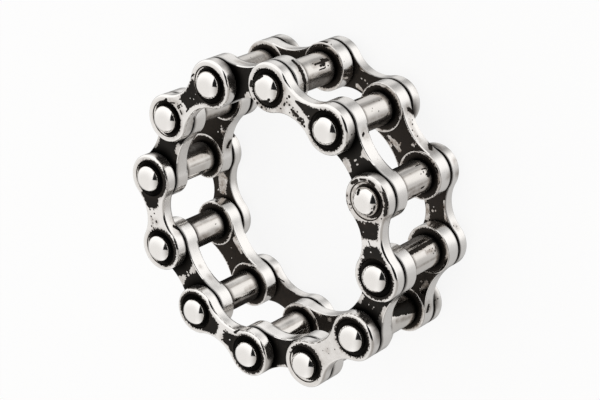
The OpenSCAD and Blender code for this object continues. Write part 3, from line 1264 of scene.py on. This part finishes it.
INNER_CHARTS = (
    InnerChart(worn=((-0.55, 1.15, 0.0, 1.2, 0.3), (0.1, -1.35, 0.9, -1.4, 0.3))),
    InnerChart(
        worn=(
            (-0.2, 1.2, -0.1, 0.85, 0.3), (-0.05, 0.5, 0.15), (0.05, 0.05, 0.12),
            (-0.25, 0.1, 0.08), (0.0, -0.6, 0.05, -0.9, 0.25), (0.1, -1.2, 0.45),
        ),
        stain=((0.0, 1.9, 0.15), (1.0, 2.25, 0.2)),
    ),
    InnerChart(worn=((-1.0, -1.35, -0.2, -1.2, 0.16),)),
    InnerChart(
        worn=(
            (-0.7, 1.2, -0.1, 1.15, 0.2), (-1.2, -1.25, 0.2, -1.25, 0.28), (-0.4, 0.3, 0.06),
            (-0.3, -0.2, 0.06), (-0.5, -0.15, 0.06),
        ),
    ),
    InnerChart(
        worn=(
            (-0.1, 1.1, 0.35, 0.95, 0.36), (-0.3, -0.05, -0.25, 0.08, 0.06),
            (0.1, -0.1, 0.12, 0.1, 0.07), (0.1, -0.75, 0.05, -1.3, 0.08, 0.6),
        ),
        dark=(
            (1.3, -2.0, 1.35, -2.2, 0.12), (1.1, -2.8, 0.08), (-0.6, -2.2, 0.05), (0.3, -2.4, 0.05),
            (0.9, -2.1, 0.05), (-1.0, -2.5, 0.04),
        ),
        stain=((1.25, -2.3, 0.4),),
    ),
    InnerChart(
        worn=((0.15, 0.95, 0.2), (0.25, 1.2, 0.35)),
        dark=(
            (-4.7, -2.6, -5.5, -1.95, 0.16), (-5.5, -1.95, -6.0, -1.05, 0.20),
            (-6.0, -1.05, -6.2, 0.0, 0.20), (-6.2, 0.0, -6.0, 1.1, 0.18),
        ),
        stain=((-0.4, -1.9, 1.2, -2.3, 0.25), (-5.5, -1.95, -6.2, 0.0, 0.35)),
    ),
)
INNER_LOWER_CHARTS = (
    InnerChart(
        behind=((-0.5, 0.7, -0.1, 0.9, 0.12, 0.25), (0.2, 0.5, 0.08)),
        dark=((0.9, 1.8, 1.2, 2.2, 0.2),),
        stain=((1.1, 2.0, 0.5),),
    ),
    InnerChart(behind=((0.3, -0.4, 0.08), (-0.5, 0.2, 0.07), (-0.9, 1.15, 0.4, 1.0, 0.30, 0.10))),
    InnerChart(behind=((0.2, 0.9, 0.2), (-0.8, 1.1, 0.15))),
    InnerChart(
        behind=((-0.6, -0.95, 0.4, -0.9, 0.35, 0.15), (0.1, -0.5, 0.10)),
        dark=((-1.6, -2.4, -1.9, -2.8, 0.18),),
        stain=((-1.7, -2.5, 0.5),),
    ),
    InnerChart(
        behind=(
            (0.95, 0.85, 0.3, 0.75, 0.16, 0.30), (0.2, 0.65, -0.6, 0.6, 0.32, 0.16),
            (-0.1, 0.15, 0.08), (-0.2, 0.3, 0.10), (-0.8, -0.9, 0.2),
        ),
        dark=(
            (-1.4, -1.7, -1.6, -2.2, 0.20), (1.5, -1.6, 1.7, -2.2, 0.20), (0.6, -2.0, 0.07),
            (0.2, -2.3, 0.06), (-0.3, -2.1, 0.07), (-0.7, -2.4, 0.06), (1.0, -2.3, 0.07),
            (0.9, -1.9, 0.06),
        ),
        stain=(
            (-4.6, -1.9, 0.3), (0.8, -2.2, -0.6, -2.2, 0.2), (-1.5, -2.2, 0.5), (1.6, -2.2, 0.5),
        ),
    ),
    InnerChart(
        behind=((0.3, 0.5, 0.10), (0.6, -0.6, 0.08)),
        dark=((-2.9, -3.2, -3.9, -3.15, 0.20), (-4.6, -2.9, 0.13), (-6.3, -0.75, 0.08)),
        stain=((0.5, -2.2, 0.3), (-3.4, -3.1, 0.5)),
    ),
)
print("marks on the inner plates:", sum(
    len(chart.worn + chart.behind + chart.dark) for chart in INNER_CHARTS + INNER_LOWER_CHARTS
))

# %% [markdown]
# The roller side of an inner plate has two levels. The boss keeps its oxide round the roller,
# where it also gets painted shade, and is worn near its edge, in a line that sways a little. The
# web between the bosses is a step lower and keeps its oxide away from the plate's edges. The
# outward face gets painted shadow under the outer plates' ends, and the sides get painted shade
# next to the gap. Pairs of numbers are distances from an eye's middle at which a tone starts and
# is full.

# %% Finish of an inner plate
LEVEL_SLACK = 0.01
FACE_OXIDE_MOST = 0.75
WORN_STAIN, WORN_STAIN_MOST = 0.6, 0.7
WEB_EDGE = 0.03
WEB_OXIDE = (0.05, 0.35)
WEB_WEAR = 0.8
BOSS_EDGE_OXIDE = -0.45
BOSS_OXIDE_MOST = 0.8
BOSS_WORN_FROM = 1.87
BOSS_WORN_SWAY = 0.09
BOSS_WORN_TURN = 1.0
BOSS_WORN_BLUR = 0.2
BOSS_STAIN = (2.1, 1.8)
BOSS_STAIN_LEAST = 0.5
# Painted shade round the roller, painted shadow under the outer plates' ends, and painted shade on
# the sides by the gap
BOSS_SHADE = (1.8, 1.4)
UNDER_EYE_SHADOW = (2.95, 2.15)
SIDE_SHADE_END = 2.55


def inner_finish(points, chart):
    """Oxide, stain and soot at each point of an inner plate."""
    flat, height = points[:, :2], points[:, 2]
    away = seat_distance(points)
    fall = INNER_FACE - height
    unrolled = flat + INNER.outward(flat) * fall[:, None]
    edge = np.minimum(INNER.edge_distance(flat, 1), INNER.edge_distance(flat, -1))
    on_face = fall < LEVEL_SLACK
    on_boss = height < BOSS_FACE + LEVEL_SLACK
    on_boss_edge = ~on_boss & (height < INNER_WAIST_BACK - LEVEL_SLACK)
    on_web = (np.abs(height - INNER_WAIST_BACK) < LEVEL_SLACK) & (edge > WEB_EDGE)
    on_side = ~(on_face | on_boss | on_boss_edge | on_web)

    worn = cover(flat, chart.worn)
    web_oxide = between(edge, *WEB_OXIDE) - WEB_WEAR * (1 + cover(flat, chart.behind))
    around = np.arctan2(flat[:, 1], np.abs(flat[:, 0]) - PITCH / 2)
    worn_from = BOSS_WORN_FROM + BOSS_WORN_SWAY * np.sin(2 * around + BOSS_WORN_TURN)
    boss_oxide = (worn_from - away) / BOSS_WORN_BLUR
    oxide = cover(unrolled, chart.dark)
    oxide = np.where(on_face, np.minimum(FACE_OXIDE_MOST, -worn), oxide)
    oxide = np.where(on_web, np.minimum(FACE_OXIDE_MOST, web_oxide), oxide)
    oxide = np.where(on_boss, np.clip(boss_oxide, BOSS_EDGE_OXIDE, BOSS_OXIDE_MOST), oxide)
    oxide = np.where(on_boss_edge, BOSS_EDGE_OXIDE, oxide)

    stain = np.where(on_face, np.clip(worn + WORN_STAIN, 0, WORN_STAIN_MOST), 0.0)
    boss_stain = BOSS_STAIN_LEAST + between(away, *BOSS_STAIN)
    stain = np.where(on_boss | on_boss_edge, boss_stain, stain)
    stain = np.where(on_web, UNREACHED_STAIN, stain)
    stain = np.where(on_side, film_cover(unrolled, chart.stain), stain)

    # Painted shadow on the outward face, under the outer plates' ends
    shade_and_grime = np.where(on_face, between(away, *UNDER_EYE_SHADOW), 0.0)
    # Painted shade on the sides, next to the gap
    shade_and_grime = np.where(on_side & (away < SIDE_SHADE_END), between(fall, GAP_SHADE_REACH, 0), shade_and_grime)
    # Painted shade on the boss, round the roller
    shade_and_grime = np.where(on_boss, between(away, *BOSS_SHADE), shade_and_grime)
    return oxide, stain, shade_and_grime


# %% Place the inner plates
make_plates(
    "inner_plate", inner_plate, inner_finish, INNER_CHARTS, INNER_LOWER_CHARTS, INNER_STEEL
)

# %% [markdown]
# A roller is charted as if unrolled: the first number is the height along its axis, and the
# second runs round it, upwards in the photograph from the line that faces the camera. The
# stretch that faces the camera between its neighbours, from one place round it to another, is
# polished. The rest is brown and painted darker, by as much as `shade` says: painted shade and a
# painted reflection of the dark plates next to it, at the same angle from the camera on every
# roller. Both ends get painted shade, the far one more, with a little brown grime. Something
# unrolled has a seam, and this one lies straight behind, where no stroke reaches it.

# %% The rollers' charts
class RollerChart(NamedTuple):
    """One roller's polished stretch, its marks, and how much painted shade the rest gets."""

    starts: float
    ends: float
    dark: tuple = ()
    stain: tuple = ()
    shade: float = 0.4


ROLLER_CHARTS = (
    RollerChart(
        0.75, 2.2,
        dark=((-0.6, 0.95, 0.06), (0.2, 0.9, 0.05)),
        stain=((-1.4, 0.7, 1.2, 0.4, 0.30),),
    ),
    RollerChart(-1.1, 0.0, stain=((-1.8, -0.2, 1.6, -0.2, 0.12),)),
    RollerChart(
        -1.7, 0.15,
        stain=((-1.8, 0.1, 1.6, 0.1, 0.30), (-1.8, -0.5, 1.2, -0.5, 0.07)),
        shade=0.8,
    ),
    RollerChart(
        -0.95, 0.62,
        dark=((-1.0, -0.1, 0.09),),
        stain=(
            (-0.5, -0.5, -0.5, -0.8, 0.08), (-1.8, 0.4, 1.6, 0.4, 0.09),
            (-1.8, -0.8, 1.6, -0.8, 0.35),
        ),
        shade=0.85,
    ),
    RollerChart(
        -0.75, 1.0,
        stain=(
            (-1.7, -0.2, -0.3, -0.25, 0.18), (-1.8, 0.55, 1.6, 0.55, 0.08), (-1.3, -0.6, 0.12),
        ),
        shade=0.85,
    ),
    RollerChart(
        -0.50, 1.1,
        dark=((-1.5, -0.30, 0.5, -0.15, 0.07), (-0.9, -0.45, 0.3, -0.4, 0.06)),
        stain=((-1.8, -0.2, 1.2, -0.2, 0.15), (-1.8, 0.5, 1.6, 0.5, 0.07)),
    ),
    RollerChart(-1.5, 0.9),
    RollerChart(
        -2.0, 0.15,
        dark=((-1.9, 0.1, 1.2, 0.6, 0.5), (-1.8, -0.35, 0.6, 0.05, 0.30, 0.15)),
        stain=((-1.8, -0.9, 0.6, -0.5, 0.2),),
    ),
    RollerChart(
        -1.9, 1.0,
        dark=(
            (-1.9, 0.62, 1.4, 0.56, 0.19), (-1.6, 0.0, 0.08), (-1.4, -0.2, 0.09),
            (-1.2, 0.05, 0.07), (-1.0, -0.12, 0.06), (-0.8, 0.1, 0.07), (-0.5, 0.0, 0.05),
            (-0.3, 0.12, 0.05), (-1.1, -0.35, 0.07),
        ),
        stain=(
            (-1.8, -0.78, 1.4, -0.8, 0.10), (-1.9, 0.6, 1.8, 0.55, 0.30),
            (-1.7, -0.1, -0.4, 0.0, 0.2),
        ),
        shade=0.6,
    ),
    RollerChart(
        -1.75, 0.95,
        dark=(
            (-2.0, 0.1, -1.6, -0.2, 0.22), (-1.7, 0.35, -1.2, 0.4, 0.07),
            (-1.5, 0.9, -0.9, 0.9, 0.05), (-1.2, 0.15, 0.07), (-0.8, 0.1, 0.06),
            (-1.35, -0.1, 0.06), (-0.2, 0.35, 0.05), (-0.9, -1.0, -0.5, -1.05, 0.08),
        ),
        stain=(
            (-1.7, -0.65, 1.5, -0.7, 0.11), (-1.6, -1.2, 0.8, -1.25, 0.40),
            (-1.8, 0.5, 1.5, 0.45, 0.07),
        ),
        shade=0.85,
    ),
    RollerChart(
        -0.75, 1.9,
        dark=(
            (-1.3, 0.6, 0.06), (-0.9, 0.5, 0.07), (-0.3, 0.6, 0.06), (-1.8, 0.0, 0.14),
            (-0.2, -0.25, 0.05), (0.4, 0.1, 0.05), (0.6, -0.1, 0.05),
        ),
        stain=((-1.8, 0.55, 1.4, 0.6, 0.08), (-1.8, -0.75, 1.5, -0.7, 0.18)),
    ),
    RollerChart(
        -0.50, 1.8,
        dark=(
            (-1.5, 0.35, -0.9, 0.50, 0.13), (-1.6, 0.30, 0.15, 0.30, 0.13, 0.08),
            (-1.0, 0.08, -0.4, 0.05, 0.11), (0.25, 0.45, 0.06), (-0.9, -0.2, -0.1, -0.25, 0.06),
            (-1.3, -0.15, 0.09),
        ),
        stain=(
            (-1.8, -0.55, 1.4, -0.55, 0.20), (-1.8, 0.3, 0.3, 0.3, 0.30),
            (-1.8, -0.85, 1.5, -0.85, 0.30),
        ),
        shade=0.5,
    ),
)
print("marks on the rollers:", sum(len(chart.dark + chart.stain) for chart in ROLLER_CHARTS))

# %% Finish of a roller
POLISH_FADE = 0.35
FAR_SIDE = (2.8, 2.3)
# Painted shade at the roller's ends, where it meets the plates
FRONT_END_SHADE = (1.20, 1.62)
BACK_END_SHADE = (1.35, 1.95)
ROLLER_STAIN_BLUR = 0.12
SHADED_PART_STAIN = 1.5
SHADED_PART_OXIDE = (0.5, -0.75)
CAMERA_SIDE = math.atan2(side_front.y, side_front.x)
ROUND_IS_UP = math.copysign(1, Vector((-side_front.y, side_front.x, 0)).dot(side_up))


def roller_finish(points, number):
    """Oxide, stain and soot at each point of that roller."""
    chart = ROLLER_CHARTS[number - 1]
    angle = np.arctan2(points[:, 1], points[:, 0]) + (number - 1.5) * STEP - CAMERA_SIDE
    angle = (angle + math.pi) % (2 * math.pi) - math.pi
    height, around = points[:, 2], ROLLER_R * angle * ROUND_IS_UP
    unrolled = np.stack([height, around], 1)
    # Outside the polished stretch: painted shade and a painted reflection of the dark plates, at
    # the same angle from the camera on every roller
    shaded_part = np.maximum(
        between(around, chart.starts, chart.starts - POLISH_FADE),
        between(around, chart.ends, chart.ends + POLISH_FADE),
    )
    # The side that no picture shows is plain steel again, so that no hard edge appears there
    shaded_part = shaded_part * between(np.abs(around), *FAR_SIDE)
    # Painted shade at both ends, with a little brown grime
    ends = np.maximum(between(height, *FRONT_END_SHADE), between(-height, *BACK_END_SHADE))

    # This stays under 0, so that only the noise's peaks leave flecks of oxide there
    shaded_part_oxide = SHADED_PART_OXIDE[0] * shaded_part + SHADED_PART_OXIDE[1]
    oxide = np.clip(np.maximum(cover(unrolled, chart.dark), shaded_part_oxide), -FIRM, FIRM)
    stain = film_cover(unrolled, chart.stain, ROLLER_STAIN_BLUR)
    stain = np.maximum(stain, np.clip(SHADED_PART_STAIN * np.maximum(shaded_part, ends), 0, 1))
    shade_and_grime = np.maximum(ends**SHADE_POWER, chart.shade * shaded_part**2)
    return oxide, stain, shade_and_grime


# %% [markdown]
# A pin head is all polish, with painted shade on its foot inside the seat and a ragged brown
# line where that shade ends. A few domes have small chips, charted as the camera sees them: to
# the right and upwards from the dome's middle, in head radii. That is how they are read off the
# photograph, and turning the camera's two axes into the pin's own place finds them on the mesh.

# %% Pins
DOME_STROKES = {
    12: ((-0.78, 0.55, -0.2, 0.88, 0.13), (-0.5, -0.82, 0.2, -0.85, 0.11), (0.3, -0.72, 0.10)),
    10: (
        (-0.38, 0.55, -0.28, 0.85, 0.08), (-0.62, 0.72, -0.72, 0.5, 0.06),
        (0.72, -0.25, 0.68, -0.45, 0.07), (0.58, -0.6, 0.45, -0.72, 0.07), (0.55, -0.4, 0.05),
    ),
}
DOME_MIDDLE = OUTER_FACE + 0.3
DOME_BLUR = 0.1
# Painted shade on the collar inside the seat
COLLAR_SHADE = (0.12, 0.20)
COLLAR_STAIN = (-0.04, 0.20)


def pin_finish(points, number):
    """Oxide, stain and soot at each point of that pin."""
    turned_back = Matrix.Rotation((number - 1.5) * STEP, 3, "Z").transposed()
    from_middle = points - (0, 0, DOME_MIDDLE)
    seen = [from_middle @ np.array(turned_back @ axis) / HEAD_R for axis in (VIEW_RIGHT, VIEW_UP)]
    chips = cover(np.stack(seen, 1), DOME_STROKES.get(number, ()), DOME_BLUR)
    below_face = OUTER_FACE - np.abs(points[:, 2])
    # Painted shade on the foot inside the seat
    shade_and_grime = between(below_face, *COLLAR_SHADE)
    oxide = np.where(points[:, 2] < 0, -FIRM, np.maximum(chips, -FIRM))
    oxide = np.maximum(oxide, 2 * FIRM * shade_and_grime - FIRM)
    return oxide, between(below_face, *COLLAR_STAIN), shade_and_grime


# %% Place the rollers and pins
def pin_place(number):
    """Pin 1 comes half a link before +X."""
    return Matrix.Rotation((number - 1.5) * STEP, 4, "Z") @ Matrix.Translation((LOOP_R, 0, 0))


for number in range(1, PINS + 1):
    place = pin_place(number)
    finish = roller_finish(roller.points, number)
    make_piece(f"roller_{number}", roller, place, finish, ROLLER_STEEL)
    finish = pin_finish(pin.points, number)
    make_piece(f"pin_{number}", pin, place, finish, PIN_STEEL)
